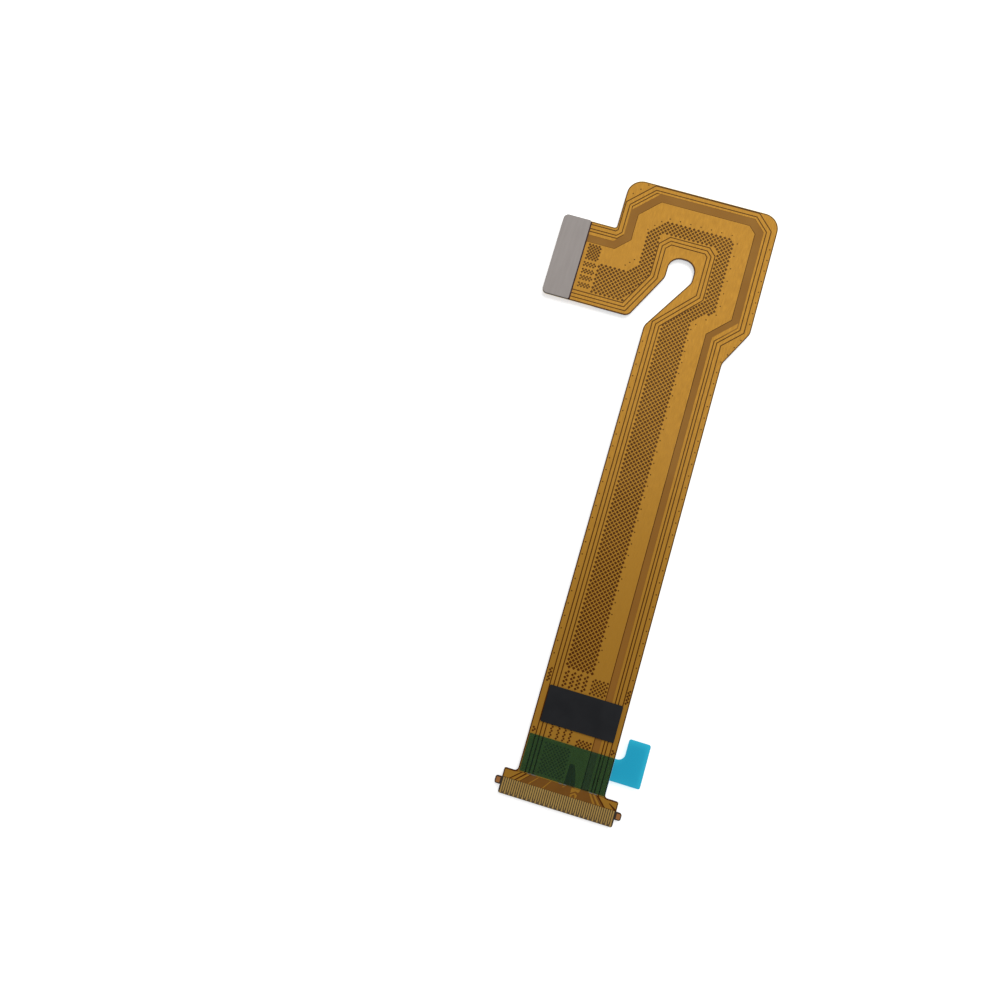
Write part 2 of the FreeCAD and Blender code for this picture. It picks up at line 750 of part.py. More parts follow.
# Connector housing: a block with a mating channel and a step along each side for the leads
housing = doc.addObject("PartDesign::Body", "connector_housing")
housing_left = connector_x + " - housing_width/2"
housing_right = connector_x + " + housing_width/2"
housing_sketch = corner_sketch(housing, "housing_outline", [
    rectangle(housing_left, housing_right, housing_low, housing_top)])
housing_block = housing.newObject("PartDesign::Pad", "housing_block")
housing_block.Profile = housing_sketch
housing_block.setExpression("Length", bound("connector_height"))
doc.recompute()
row_low = connector_y + " - connector_span/2 - row_end_gap"
row_top = connector_y + " + connector_span/2 + row_end_gap"
recess_depth = "connector_height - housing_base"
pocket(housing, "mating_channel", [rectangle(
    connector_x + " - wall_inner", connector_x + " + wall_inner", row_low, row_top)], recess_depth)
pocket(housing, "side_steps", [
    rectangle(housing_left, connector_x + " - wall_outer", row_low, row_top),
    rectangle(connector_x + " + wall_outer", housing_right, row_low, row_top)], recess_depth)
pocket(housing, "wall_tops", [
    rectangle(connector_x + " - wall_outer", connector_x + " - wall_inner", row_low, row_top),
    rectangle(connector_x + " + wall_inner", connector_x + " + wall_outer", row_low, row_top)],
    "lead_recess + lead_thickness")
place(housing, "")

# Leads: each wraps over a wall of the housing and runs out to a flat foot on its pad
thick = size["lead_thickness"]
foot_level = size["connector_height"]
run_level = size["connector_height"] - size["housing_base"]
heel = size["housing_width"] / 2
wrap_low = size["lead_recess"]
inner_end = wrap_low + size["lead_inner_depth"]
lead_profile = [
    (size["lead_reach"], foot_level), (size["lead_reach"], foot_level - thick),
    (heel + thick, foot_level - thick), (heel + thick, run_level - thick),
    (size["wall_outer"] + thick, run_level - thick), (size["wall_outer"] + thick, wrap_low),
    (size["wall_inner"] - thick, wrap_low), (size["wall_inner"] - thick, inner_end),
    (size["wall_inner"], inner_end), (size["wall_inner"], wrap_low + thick),
    (size["wall_outer"], wrap_low + thick), (size["wall_outer"], run_level),
    (heel, run_level), (heel, foot_level),
]
for name, flip in (("lead_row_inner", False), ("lead_row_outer", True)):
    leads = []
    for middle in lead_places:
        start = middle - size["lead_width"] / 2
        corners = [FreeCAD.Vector(centre_x + x, start, z) for x, z in lead_profile]
        lead = polygon_face(corners).extrude(FreeCAD.Vector(0, size["lead_width"], 0))
        leads.append(mirrored(lead, flip))
    shape_node(name, leads, "")

# Metal fitting that wraps each end of the housing and is soldered at two feet
fitting_ends = [("end_fitting_top", number(housing_top), 1), ("end_fitting_low", number(housing_low), -1)]
wall = size["nail_thickness"]
for name, end_y, outward in fitting_ends:
    inner_y = end_y - outward * size["nail_depth"]
    outer_y = end_y + outward * wall
    foot_far = inner_y + outward * size["nail_foot_width"]
    low_z = size["nail_rise"]
    fitting = block(centre_x - heel - wall, centre_x + heel + wall, min(end_y, outer_y), max(end_y, outer_y),
                    low_z, foot_level)
    for flip in (False, True):
        arm = block(centre_x + heel, centre_x + heel + wall, min(inner_y, end_y), max(inner_y, end_y),
                    low_z, foot_level)
        foot = block(centre_x + heel + wall, centre_x + size["nail_foot_reach"], min(inner_y, foot_far),
                     max(inner_y, foot_far), foot_level - wall, foot_level)
        fitting = fitting.fuse(mirrored(arm, flip)).fuse(mirrored(foot, flip))
    nose_y = outer_y + outward * size["nail_nose_length"]
    nose_half = size["nail_nose_width"] / 2
    nose = block(centre_x - nose_half, centre_x + nose_half, min(outer_y, nose_y), max(outer_y, nose_y),
                 foot_level - wall, foot_level)
    shape_node(name, [fitting.fuse(nose).removeSplitter()], "")

# Check every piece, then write one file for each
doc.recompute()
for item in doc.Objects:
    if "Invalid" in item.State or "Error" in item.State:
        raise RuntimeError(item.Name + " failed")
for item in subparts:
    if item.Shape.isNull() or not item.Shape.isValid():
        raise RuntimeError(item.Name + " has no valid shape")
    item.Shape.exportStep("parts/" + item.Label + ".step")
print("pieces", len(subparts))
box = FreeCAD.BoundBox()
for item in subparts:
    box.add(item.Shape.BoundBox)
print("overall", [round(value, 3) for value in (box.XMin, box.XMax, box.YMin, box.YMax, box.ZMin, box.ZMax)])
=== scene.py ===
import bmesh
import bpy
import json
import math
import random
from mathutils import Matrix, Vector


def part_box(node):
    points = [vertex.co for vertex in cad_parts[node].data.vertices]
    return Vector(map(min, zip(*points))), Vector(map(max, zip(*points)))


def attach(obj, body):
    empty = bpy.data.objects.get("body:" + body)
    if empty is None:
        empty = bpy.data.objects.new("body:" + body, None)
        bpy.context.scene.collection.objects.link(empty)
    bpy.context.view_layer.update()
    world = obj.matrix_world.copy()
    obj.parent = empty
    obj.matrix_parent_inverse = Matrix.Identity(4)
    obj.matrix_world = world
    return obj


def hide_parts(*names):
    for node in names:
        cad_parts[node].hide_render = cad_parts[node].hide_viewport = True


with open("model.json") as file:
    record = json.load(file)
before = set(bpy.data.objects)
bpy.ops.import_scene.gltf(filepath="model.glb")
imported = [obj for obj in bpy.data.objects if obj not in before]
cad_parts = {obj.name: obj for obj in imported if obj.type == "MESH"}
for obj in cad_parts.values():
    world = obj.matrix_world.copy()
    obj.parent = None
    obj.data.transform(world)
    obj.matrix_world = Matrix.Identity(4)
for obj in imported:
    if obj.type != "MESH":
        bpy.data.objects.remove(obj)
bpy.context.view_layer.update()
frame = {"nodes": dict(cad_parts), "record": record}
print("stage: frame loaded,", len(frame["nodes"]), "pieces")

# Places are in millimetres: x from the strip's centre line, y from the end of the contact tail
mm = 0.001
contactsOffCentre = 0.1
contactsLow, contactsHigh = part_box("tail_contacts")
stripMiddle = (contactsLow.x + contactsHigh.x) / 2 - contactsOffCentre * mm
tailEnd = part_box("base_film")[0].y
skin = 0.004 * mm  # keeps the faces of neighbouring clear films apart
weld = 0.0005 * mm  # points as near as this are one
hair = 0.0002 * mm  # the same along a cut
level = 0.9  # a face lies level when its normal has more than this along z
flatAngle = 0.02  # faces that meet at less than this are one, in radians
up = Vector((0, 0, 1))


def spot(x, y, z=0.0):
    # z is already in metres, because it comes from a node's box
    return Vector((stripMiddle + x * mm, tailEnd + y * mm, z))


def srgb(red, green, blue):
    # colour as given, 0 to 255, made linear
    parts = [part / 255 for part in (red, green, blue)]
    return tuple(p / 12.92 if p < 0.04045 else ((p + 0.055) / 1.055) ** 2.4 for p in parts) + (1.0,)


# Effects that several materials share


def newGroup(name, inputs, outputs):
    group = bpy.data.node_groups.new(name, "ShaderNodeTree")
    for label, kind, value in inputs:
        socket = group.interface.new_socket(label, in_out="INPUT", socket_type=kind)
        if value is not None:
            socket.default_value = value
    for label, kind in outputs:
        group.interface.new_socket(label, in_out="OUTPUT", socket_type=kind)
    return group, group.nodes.new("NodeGroupInput"), group.nodes.new("NodeGroupOutput")


def mathNode(tree, operation, first, second):
    node = tree.nodes.new("ShaderNodeMath")
    node.operation = operation
    for socket, value in zip(node.inputs, (first, second)):
        if isinstance(value, (int, float)):
            socket.default_value = value
        else:
            tree.links.new(value, socket)
    return node.outputs[0]


def buildMottle():
    # soft cloudy change between two colours, Patch is its size in metres
    group, given, made = newGroup("mottle", [
        ("Vector", "NodeSocketVector", None), ("Patch", "NodeSocketFloat", 0.001),
        ("First", "NodeSocketColor", (1, 1, 1, 1)), ("Second", "NodeSocketColor", (0, 0, 0, 1)),
        ("Spread", "NodeSocketFloat", 0.2)],
        [("Colour", "NodeSocketColor"), ("Mask", "NodeSocketFloat")])
    perMetre = mathNode(group, "DIVIDE", 1.0, given.outputs["Patch"])
    noise = group.nodes.new("ShaderNodeTexNoise")
    noise.inputs["Detail"].default_value = 4.0
    group.links.new(given.outputs["Vector"], noise.inputs["Vector"])
    group.links.new(perMetre, noise.inputs["Scale"])
    ramp = group.nodes.new("ShaderNodeMapRange")
    group.links.new(noise.outputs["Fac"], ramp.inputs["Value"])
    group.links.new(mathNode(group, "SUBTRACT", 0.5, given.outputs["Spread"]), ramp.inputs["From Min"])
    group.links.new(mathNode(group, "ADD", 0.5, given.outputs["Spread"]), ramp.inputs["From Max"])
    mix = group.nodes.new("ShaderNodeMix")
    mix.data_type = "RGBA"
    group.links.new(ramp.outputs["Result"], mix.inputs["Factor"])
    group.links.new(given.outputs["First"], mix.inputs["A"])
    group.links.new(given.outputs["Second"], mix.inputs["B"])
    group.links.new(mix.outputs["Result"], made.inputs["Colour"])
    group.links.new(ramp.outputs["Result"], made.inputs["Mask"])
    return group


def buildGrain():
    # fine streaks along the rolling direction, as rolled foil and sheet show them
    group, given, made = newGroup("rolledGrain", [
        ("Vector", "NodeSocketVector", None), ("Across", "NodeSocketFloat", 12000.0),
        ("Along", "NodeSocketFloat", 900.0)],
        [("Streak", "NodeSocketFloat")])
    sides = group.nodes.new("ShaderNodeCombineXYZ")
    group.links.new(given.outputs["Across"], sides.inputs["X"])
    group.links.new(given.outputs["Along"], sides.inputs["Y"])
    group.links.new(given.outputs["Across"], sides.inputs["Z"])
    stretched = group.nodes.new("ShaderNodeVectorMath")
    stretched.operation = "MULTIPLY"
    group.links.new(given.outputs["Vector"], stretched.inputs[0])
    group.links.new(sides.outputs["Vector"], stretched.inputs[1])
    noise = group.nodes.new("ShaderNodeTexNoise")
    noise.inputs["Scale"].default_value = 1.0
    noise.inputs["Detail"].default_value = 2.0
    group.links.new(stretched.outputs["Vector"], noise.inputs["Vector"])
    group.links.new(noise.outputs["Fac"], made.inputs["Streak"])
    return group


def buildPebble():
    # small even bumps of moulded plastic, board and coated film
    group, given, made = newGroup("pebble", [
        ("Vector", "NodeSocketVector", None), ("Scale", "NodeSocketFloat", 20000.0)],
        [("Height", "NodeSocketFloat")])
    noise = group.nodes.new("ShaderNodeTexNoise")
    noise.inputs["Detail"].default_value = 3.0
    cells = group.nodes.new("ShaderNodeTexVoronoi")
    for texture in (noise, cells):
        group.links.new(given.outputs["Vector"], texture.inputs["Vector"])
        group.links.new(given.outputs["Scale"], texture.inputs["Scale"])
    softened = mathNode(group, "MULTIPLY", cells.outputs["Distance"], 0.4)
    group.links.new(mathNode(group, "ADD", noise.outputs["Fac"], softened), made.inputs["Height"])
    return group


mottle = buildMottle()
rolledGrain = buildGrain()
pebble = buildPebble()


# Materials


def useGroup(tree, group, **values):
    node = tree.nodes.new("ShaderNodeGroup")
    node.node_tree = group
    for label, value in values.items():
        if isinstance(value, bpy.types.NodeSocket):
            tree.links.new(value, node.inputs[label])
        else:
            node.inputs[label].default_value = value
    return node


def newMaterial(name, roughness, metallic=0.0):
    material = bpy.data.materials.new(name)
    material.use_nodes = True
    tree = material.node_tree
    shader = tree.nodes["Principled BSDF"]
    shader.inputs["Roughness"].default_value = roughness
    shader.inputs["Metallic"].default_value = metallic
    place = tree.nodes.new("ShaderNodeTexCoord").outputs["Object"]
    return material, tree, shader, place


def addBump(tree, shader, height, distance):
    bump = tree.nodes.new("ShaderNodeBump")
    bump.inputs["Distance"].default_value = distance
    tree.links.new(height, bump.inputs["Height"])
    tree.links.new(bump.outputs["Normal"], shader.inputs["Normal"])


def rangeNode(tree, value, low, high):
    # spreads the middle of a noise or mask over a range
    node = tree.nodes.new("ShaderNodeMapRange")
    node.inputs["From Min"].default_value = 0.3
    node.inputs["From Max"].default_value = 0.7
    node.inputs["To Min"].default_value = low
    node.inputs["To Max"].default_value = high
    tree.links.new(value, node.inputs["Value"])
    return node.outputs["Result"]


def metalMaterial(name, colour, second, metallic, roughness, across=12000.0, along=900.0, patch=0.004,
                  streakColour=(0.86, 0.84, 0.82, 1), relief=1.0):
    material, tree, shader, place = newMaterial(name, roughness, metallic)
    streak = useGroup(tree, rolledGrain, Vector=place, Across=across, Along=along).outputs["Streak"]
    tone = useGroup(tree, mottle, Vector=place, Patch=patch, First=colour, Second=second, Spread=0.3)
    darker = tree.nodes.new("ShaderNodeMix")
    darker.data_type = "RGBA"
    darker.blend_type = "MULTIPLY"
    darker.inputs["B"].default_value = streakColour
    tree.links.new(rangeNode(tree, streak, 0.0, 1.0), darker.inputs["Factor"])
    tree.links.new(tone.outputs["Colour"], darker.inputs["A"])
    tree.links.new(darker.outputs["Result"], shader.inputs["Base Color"])
    spread = 0.08 * relief
    gloss = rangeNode(tree, streak, roughness - spread, roughness + spread)
    tree.links.new(gloss, shader.inputs["Roughness"])
    addBump(tree, shader, streak, 0.000002 * relief)
    return material


def solidMaterial(name, colour, second, patch, roughness, grain, depth, coat=0.0, specular=0.5):
    # patch is the size of its clouds, grain the bumps in a metre and depth their height in metres
    material, tree, shader, place = newMaterial(name, roughness)
    shader.inputs["Specular IOR Level"].default_value = specular
    shader.inputs["Coat Weight"].default_value = coat
    shader.inputs["Coat Roughness"].default_value = 0.2
    tone = useGroup(tree, mottle, Vector=place, Patch=patch, First=colour, Second=second, Spread=0.25)
    tree.links.new(tone.outputs["Colour"], shader.inputs["Base Color"])
    gloss = rangeNode(tree, tone.outputs["Mask"], roughness - 0.05, roughness + 0.05)
    tree.links.new(gloss, shader.inputs["Roughness"])
    height = useGroup(tree, pebble, Vector=place, Scale=grain).outputs["Height"]
    addBump(tree, shader, height, depth)
    return material


def bareFilm(name, colour, second, patch, roughness=0.45):
    # base film where no copper covers it
    return solidMaterial(name, srgb(*colour), srgb(*second), patch, roughness, grain=15000.0, depth=0.000001)


def filmMaterial(name, tint, body, second, share, roughness):
    # a clear film tints what shows through it once on the way in and once on the way out
    material, tree, shader, place = newMaterial(name, roughness)
    tone = useGroup(tree, mottle, Vector=place, Patch=0.006, First=body, Second=second, Spread=0.3)
    tree.links.new(tone.outputs["Colour"], shader.inputs["Base Color"])
    gloss = rangeNode(tree, tone.outputs["Mask"], roughness - 0.04, roughness + 0.05)
    tree.links.new(gloss, shader.inputs["Roughness"])
    shader.inputs["IOR"].default_value = 1.6
    tinted = tree.nodes.new("ShaderNodeBsdfTransparent")
    tinted.inputs["Color"].default_value = tint
    fresnel = tree.nodes.new("ShaderNodeFresnel")
    fresnel.inputs["IOR"].default_value = 1.45
    entering = tree.nodes.new("ShaderNodeMixShader")
    tree.links.new(mathNode(tree, "ADD", fresnel.outputs[0], share), entering.inputs[0])
    tree.links.new(tinted.outputs[0], entering.inputs[1])
    tree.links.new(shader.outputs[0], entering.inputs[2])
    sides = tree.nodes.new("ShaderNodeMixShader")
    tree.links.new(tree.nodes.new("ShaderNodeNewGeometry").outputs["Backfacing"], sides.inputs[0])
    tree.links.new(entering.outputs[0], sides.inputs[1])
    tree.links.new(tinted.outputs[0], sides.inputs[2])
    tree.links.new(sides.outputs[0], tree.nodes["Material Output"].inputs["Surface"])
    return material


finish = {
    # one finish for each slot of the part
    "base_film": bareFilm("baseFilm", (104, 40, 18), (90, 34, 15), 0.005),
    "amber_cover": filmMaterial(
        "amberFilm", tint=(0.755, 0.65, 0.29, 1), body=srgb(150, 100, 35), second=srgb(138, 92, 30),
        share=0.02, roughness=0.28),
    "shield": solidMaterial(
        "shieldFilm", srgb(35, 37, 43), srgb(32, 34, 40), patch=0.008, roughness=0.52,
        grain=22000.0, depth=0.0000015, specular=0.3),
    "end_cover": solidMaterial(
        "endCover", srgb(54, 30, 28), srgb(45, 25, 24), patch=0.004, roughness=0.42,
        grain=18000.0, depth=0.000001, coat=0.05, specular=0.3),
    "tail_stiffener": solidMaterial(
        "tailBoard", srgb(50, 28, 26), srgb(41, 23, 22), patch=0.003, roughness=0.45,
        grain=12000.0, depth=0.000002, coat=0.05, specular=0.3),
    "stiffener_plate": metalMaterial(
        "satinSteel", srgb(142, 135, 131), srgb(139, 132, 128), metallic=0.35, roughness=0.5,
        across=3000.0, along=250.0, streakColour=(0.985, 0.98, 0.98, 1), relief=0.25),
    "insulator": solidMaterial(
        "mattPad", srgb(33, 34, 37), srgb(28, 29, 32), patch=0.003, roughness=0.75,
        grain=9000.0, depth=0.000003, specular=0.2),
    "adhesive": filmMaterial(
        "clearTape", tint=(0.93, 0.93, 0.9, 1), body=srgb(60, 80, 60), second=srgb(48, 66, 50),
        share=0.03, roughness=0.4),
    # the liner looks green over copper and clear blue where it hangs free
    "liner": filmMaterial(
        "linerOnStrip", tint=(0.32, 0.66, 0.95, 1), body=srgb(20, 70, 60), second=srgb(16, 60, 52),
        share=0.03, roughness=0.25),
    "copper": metalMaterial(
        "copperFoil", (0.795, 0.517, 0.33, 1), (0.77, 0.5, 0.315, 1), metallic=0.35, roughness=0.5,
        patch=0.006, streakColour=(0.95, 0.94, 0.93, 1)),
    "contact_gold": metalMaterial(
        "contactGold", srgb(208, 172, 95), srgb(190, 152, 81), metallic=0.4, roughness=0.4,
        across=16000.0, patch=0.002),
    "connector_housing": solidMaterial(
        "housingPlastic", srgb(42, 40, 44), srgb(36, 34, 38), patch=0.001, roughness=0.5,
        grain=26000.0, depth=0.000002, specular=0.35),
    "end_fitting": metalMaterial(
        "fittingGold", srgb(205, 182, 130), srgb(186, 160, 108), metallic=0.7, roughness=0.32),
    # looks of single pieces and of zones of the base film
    "earCopper": metalMaterial(
        "earCopper", srgb(186, 124, 64), srgb(170, 110, 56), metallic=0.25, roughness=0.5, patch=0.001),
    "leadGold": metalMaterial(
        "leadGold", srgb(222, 204, 150), srgb(204, 184, 130), metallic=0.5, roughness=0.35,
        across=16000.0, patch=0.002),
    # the steel plate's side walls: a darker steel as painted shade, where the sides stand in shadow
    "shadedPlateSide": metalMaterial(
        "shadedPlateSide", srgb(74, 70, 70), srgb(64, 60, 60), metallic=0.35, roughness=0.5),
    "linerFree": filmMaterial(
        "linerFree", tint=(0.028, 0.395, 0.545, 1), body=srgb(10, 116, 154), second=srgb(8, 104, 144),
        share=0.03, roughness=0.22),
    "bareBand": bareFilm("bareBand", (196, 151, 144), (187, 141, 134), 0.006),
    "fanFloor": bareFilm("fanFloor", (168, 126, 122), (150, 110, 108), 0.002),
    "contactFloor": bareFilm("contactFloor", (52, 35, 10), (44, 29, 8), 0.002, 0.5),
    "tipFloor": bareFilm("tipFloor", (98, 76, 42), (86, 66, 36), 0.002, 0.5),
    "underBare": bareFilm("underBare", (140, 98, 82), (130, 90, 75), 0.004),
    "underBand": bareFilm("underBand", (186, 141, 130), (176, 132, 121), 0.004),
    # brown base film in the connector's opening, darkened as painted shade around the leads
    "underFloor": bareFilm("underFloor", (44, 36, 28), (36, 29, 23), 0.002, 0.5),
    "paleMark": solidMaterial(
        "paleMark", srgb(214, 212, 206), srgb(200, 197, 190), patch=0.001, roughness=0.5,
        grain=20000.0, depth=0.000001),
    "dullFleck": solidMaterial(
        "dullFleck", srgb(150, 136, 120), srgb(120, 104, 92), patch=0.0005, roughness=0.5,
        grain=20000.0, depth=0.000001),
    "dullBead": solidMaterial(
        "dullBead", srgb(98, 74, 66), srgb(80, 60, 54), patch=0.001, roughness=0.4,
        grain=9000.0, depth=0.000002),
    # dark red-brown line along the right edge of the steel plate
    "darkEdgeLine": solidMaterial(
        "darkEdgeLine", srgb(66, 22, 20), srgb(52, 18, 17), patch=0.001, roughness=0.5,
        grain=9000.0, depth=0.000002, specular=0.2),
}
print("stage: materials made,", len(finish))


# Modelling helpers


def rectangle(xs, ys):
    return [(xs[0], ys[0]), (xs[1], ys[0]), (xs[1], ys[1]), (xs[0], ys[1])]


def addSlab(bm, corners, low, high):
    # closed block standing on a flat outline in millimetres, between two levels in metres
    base = bm.faces.new([bm.verts.new(spot(x, y, low)) for x, y in corners])
    raised = bmesh.ops.extrude_face_region(bm, geom=[base])["geom"]
    bmesh.ops.translate(
        bm, verts=[item for item in raised if isinstance(item, bmesh.types.BMVert)], vec=up * (high - low))


def addHole(bm, x, y, reach, low, high, corners=4):
    # cutter for one opening, with its first corner along x
    turns = [2 * math.pi * index / corners for index in range(corners)]
    addSlab(bm, [(x + reach * math.cos(a), y + reach * math.sin(a)) for a in turns], low, high)


def insideOutline(x, y, corners):
    crossings = 0
    for (ax, ay), (bx, by) in zip(corners, corners[1:] + corners[:1]):
        if (ay > y) != (by > y) and x < ax + (y - ay) / (by - ay) * (bx - ax):
            crossings += 1
    return crossings % 2 == 1


def mergedCopy(node):
    # the CAD node's loose triangles welded together, in a bmesh of its own
    bm = bmesh.new()
    bm.from_mesh(frame["nodes"][node].data)
    bmesh.ops.remove_doubles(bm, verts=bm.verts, dist=weld)
    return bm


def meshFrom(bm, name, closed=True):
    if closed:
        bmesh.ops.recalc_face_normals(bm, faces=bm.faces)
    mesh = bpy.data.meshes.new(name)
    bm.to_mesh(mesh)
    bm.free()
    return mesh


def addPiece(name, mesh, slot, node=None, looks=None):
    # it takes its slot's finish where it has no looks of its own
    piece = bpy.data.objects.new(name, mesh)
    bpy.context.scene.collection.objects.link(piece)
    for look in looks or [slot]:
        mesh.materials.append(finish[look])
    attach(piece, "root")
    if node:
        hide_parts(node)
    return piece


def cutEverywhere(bm, place, normal, drop=False):
    # straight cut through all of it; drop takes away the side that the normal leaves behind
    bmesh.ops.bisect_plane(bm, geom=bm.verts[:] + bm.edges[:] + bm.faces[:], dist=hair,
                           plane_co=place, plane_no=normal, clear_inner=drop)


def carve(bm, cutter):
    # boolean cut, done in millimetres so that the solver has room
    pair = []
    for source in (bm, cutter):
        mesh = meshFrom(source, "carving")
        mesh.transform(Matrix.Scale(1 / mm, 4))
        temporary = bpy.data.objects.new("carving", mesh)
        bpy.context.scene.collection.objects.link(temporary)
        pair.append(temporary)
    cut = pair[0].modifiers.new("cut", "BOOLEAN")
    cut.object = pair[1]
    cut.solver = "EXACT"
    result = bpy.data.meshes.new_from_object(
        pair[0].evaluated_get(bpy.context.evaluated_depsgraph_get()))
    for temporary in pair:
        bpy.data.objects.remove(temporary)
    result.transform(Matrix.Scale(mm, 4))
    return result


# CAD nodes whose shape is right keep their mesh and get the finish of their slot, or their own
slots = {part["node"]: part["material_slot"] for part in frame["record"]["subparts"]}
ownLook = {"ear_pads": "earCopper", "lead_row_inner": "leadGold", "lead_row_outer": "leadGold"}
for node, piece in frame["nodes"].items():
    piece.data.materials.clear()
    piece.data.materials.append(finish[ownLook.get(node, slots[node])])
print("stage: finishes on the carried-over pieces")


# Clear films, each drawn in by a skin's thickness so that no two faces share a place. The face that
# lies on the piece behind it is left off, so that light has half as many surfaces to pass.


def shellCopy(node, side=1):
    # side is 1 for a film seen from above and -1 for one seen from below
    bm = mergedCopy(node)
    low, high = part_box(node)
    middle = (low.z + high.z) / 2
    for vert in bm.verts:
        vert.co.z += skin if vert.co.z < middle else -skin
    bmesh.ops.recalc_face_normals(bm, faces=bm.faces)
    hidden = [face for face in bm.faces if face.normal.z * side < -level]
    bmesh.ops.delete(bm, geom=hidden, context="FACES")
    return bm


def buildLiner():
    # two shades of the one film: over the strip, and where its pull tab stands free
    pastTape = 0.25
    bm = shellCopy("release_liner")
    stripEdge = Vector((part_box("adhesive_tape")[1].x + pastTape * mm, 0, 0))
    cutEverywhere(bm, stripEdge, (1, 0, 0))
    for face in bm.faces:
        face.material_index = 1 if face.calc_center_median().x > stripEdge.x else 0
    addPiece("blueLiner", meshFrom(bm, "blueLiner", False), "liner", "release_liner", ["liner", "linerFree"])


for name, node, side in (("upperAmberFilm", "upper_cover_film", 1),
                         ("lowerAmberFilm", "lower_cover_film", -1),
                         ("clearTape", "adhesive_tape", 1)):
    addPiece(name, meshFrom(shellCopy(node, side), name, False), slots[node], node)
buildLiner()
print("stage: clear films")


# Base film: dark where the copper leaves it bare, lighter in the wide bare band and in the fan, and darker as
# painted shade in the connector's opening

baseFilm = {
    "bandNear": [(2.79, 3.6), (2.79, 67.94), (5.72, 70.88), (5.72, 84.15), (4.68, 85.18), (-8.35, 85.18),
                 (-11.08, 82.43), (-11.08, 78.48), (-13.0, 76.57), (-20.8, 76.57)],
    "bandFar": [(3.7, 3.6), (3.7, 67.02), (6.83, 69.9), (6.83, 84.65), (5.13, 86.35), (-9.05, 86.35),
                (-12.26, 83.05), (-12.26, 78.87), (-13.05, 78.05), (-20.8, 77.75)],
    "fan": [(-5.3, 2.16), (-3.9, 3.55), (4.6, 3.55), (5.15, 3.1), (6.1, 2.16)],
    "wedge": [(0.25, 2.9), (0.4, 6.3), (1.15, 6.3), (1.55, 5.2), (2.0, 2.9)],
    "underLiner": [(-3.65, 3.75), (-3.65, 8.3), (0.1, 8.3), (0.1, 3.75)],
    "contacts": [(-8.8, 0.4), (-8.8, 2.15), (9.0, 2.15), (9.0, 0.4)],
    "connector": [(-20.78, 68.08), (-17.68, 68.08), (-17.68, 79.02), (-20.78, 79.02)],
    "tip": [(-8.8, -0.2), (-8.8, 0.4), (9.0, 0.4), (9.0, -0.2)],
    "tabGap": [(-17.67, 74.4), (-13.2, 74.4), (-13.2, 75.42), (-16.6, 75.42), (-17.67, 76.1)],
    "windowGap": [(0.74, 7.2), (1.9, 7.2), (1.9, 8.6), (0.74, 8.6)],
}


def cutFaces(bm, corners, side):
    # scores an outline into the faces that look up (side 1) or down (side -1)
    for (ax, ay), (bx, by) in zip(corners, corners[1:] + corners[:1]):
        chosen = [face for face in bm.faces if face.normal.z * side > level]
        lines = {edge for face in chosen for edge in face.edges}
        points = {vert for face in chosen for vert in face.verts}
        along = Vector((bx - ax, by - ay, 0)).normalized()
        bmesh.ops.bisect_plane(bm, geom=chosen + list(lines) + list(points), dist=hair,
                               plane_co=spot(ax, ay), plane_no=along.cross(up))


def buildBaseFilm():
    bm = mergedCopy("base_film")
    # outline, side of the film and look of each zone
    zones = [
        (baseFilm["bandNear"] + baseFilm["bandFar"][::-1], 1, "bareBand"),
        (baseFilm["fan"], 1, "fanFloor"),
        (baseFilm["wedge"], 1, "fanFloor"),
        (baseFilm["underLiner"], 1, "fanFloor"),
        (baseFilm["contacts"], 1, "contactFloor"),
        (baseFilm["connector"], -1, "underFloor"),
        (baseFilm["tip"], 1, "tipFloor"),
        (baseFilm["tabGap"], -1, "underBand"),
        (baseFilm["windowGap"], -1, "underBand"),
    ]
    looks = ["base_film", "underBare"] + sorted({look for _, _, look in zones})
    for corners, side, _ in zones:
        cutFaces(bm, corners, side)
    for face in bm.faces:
        middle = face.calc_center_median()
        x, y = (middle.x - stripMiddle) / mm, (middle.y - tailEnd) / mm
        chosen = "underBare" if face.normal.z < -level else "base_film"
        for corners, side, look in zones:
            if face.normal.z * side > level and insideOutline(x, y, corners):
                chosen = look
        face.material_index = looks.index(chosen)
    addPiece("baseFilm", meshFrom(bm, "baseFilm"), "base_film", "base_film", looks)


buildBaseFilm()
print("stage: base film")


# Upper copper: square holes set on their corners, in rows of which every second is shifted by half a step

hatch = {
    "pitch": 0.644,  # from hole to hole along a row
    "hole": 0.24,  # from the middle of a hole to its corner
    "clear": 0.1,  # room that a hole's middle keeps from the outline
    "start": (0.1, 18.3),
    "outline": [(0.22, 18.1), (0.22, 68.6), (3.3, 71.6), (3.3, 81.7), (2.4, 82.62), (-6.95, 82.62),
                (-9.12, 80.5), (-9.12, 75.2), (-10.45, 73.95), (-14.6, 73.95), (-14.6, 69.25),
                (-9.85, 69.25), (-7.2, 73.3), (-7.2, 80.35), (0.75, 80.35), (1.1, 79.85), (1.1, 72.6),
                (-3.72, 67.75), (-3.72, 18.1)],
    "bareWedge": [(0.3, 3.0), (0.45, 6.25), (1.1, 6.25), (1.5, 5.2), (1.95, 3.0)],
}
smallHatch = {
    # first holes of its patches, then columns, rows, step across, step along and reach of a hole
    "nearPlate": ([(-16.5, 74.08)], 4, 9, 0.47, 0.265, 0.2),
    "plateRows": ([(-16.5, 73.0), (-16.5, 71.95), (-16.5, 70.95), (-16.5, 69.85)], 4, 3, 0.46, 0.24, 0.18),
    "padColumns": ([(-3.3, 15.72), (-2.4, 15.72), (-1.55, 15.72), (-0.65, 15.72)], 1, 8, 0.6, 0.28, 0.21),
    "padPatch": ([(0.5, 15.72)], 4, 8, 0.56, 0.27, 0.19),
    "linerColumns": ([(-3.2, 8.8), (-2.25, 8.8), (-1.4, 8.8), (-0.6, 8.8)], 1, 7, 0.3, 0.27, 0.17),
    "linerPatch": ([(0.55, 8.7)], 4, 4, 0.52, 0.25, 0.19),
    "underLiner": ([(-3.3, 4.0)], 7, 15, 0.5, 0.28, 0.17),
}
